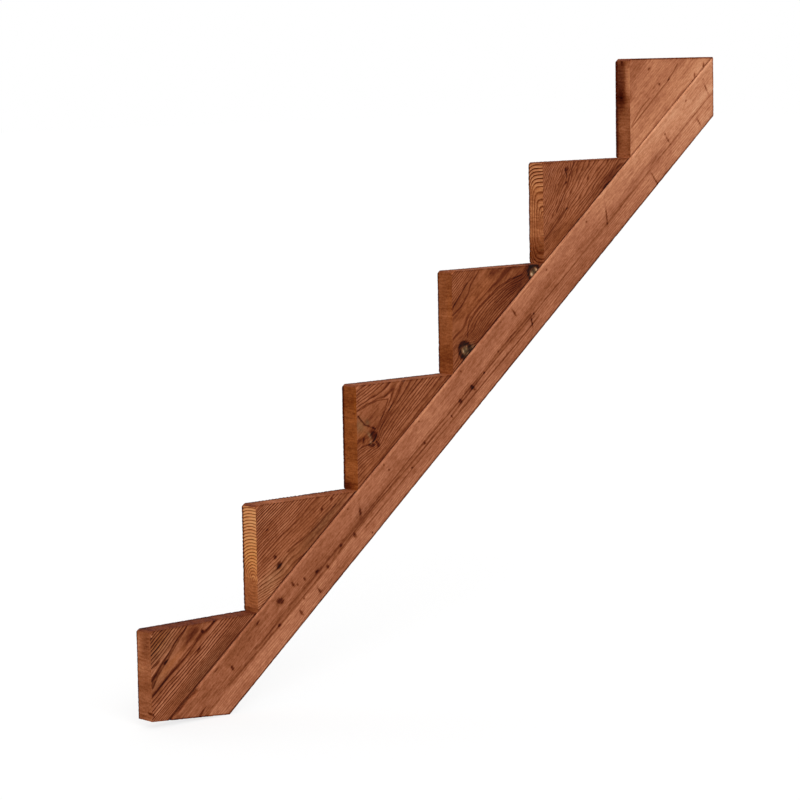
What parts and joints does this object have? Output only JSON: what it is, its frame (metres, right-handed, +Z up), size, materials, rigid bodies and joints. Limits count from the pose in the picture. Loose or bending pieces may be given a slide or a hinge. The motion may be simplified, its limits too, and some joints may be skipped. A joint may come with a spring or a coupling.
{
  "type": "stair stringer",
  "caption": "Built-up wooden stair stringer: triangular step blocks seated along the upper edge of a sloping rail, with seat and plumb cut ends, carrying the treads of an outdoor flight.",
  "frame": {"origin": "toe of the seat cut, where the first riser face meets the ground, halfway through the thickness", "axes": "+X up the flight along the run, +Y through the thickness towards the far side, +Z up with the treads level"},
  "size_m": [1.3716, 0.0382, 1.0862],
  "materials": {
    "rail_timber": "dressed softwood with brown preservative stain, dry and matte",
    "block_timber": "dressed softwood with brown preservative stain, sawn ends rough",
    "coated_screw": "brown corrosion-resistant coating, satin"
  },
  "bodies": {
    "root": {"rail": "rail_timber", "step_block_1": "block_timber", "step_block_2": "block_timber", "step_block_3": "block_timber", "step_block_4": "block_timber", "step_block_5": "block_timber", "step_block_6": "block_timber", "block_screws": "coated_screw"}
  },
  "joints": []
}
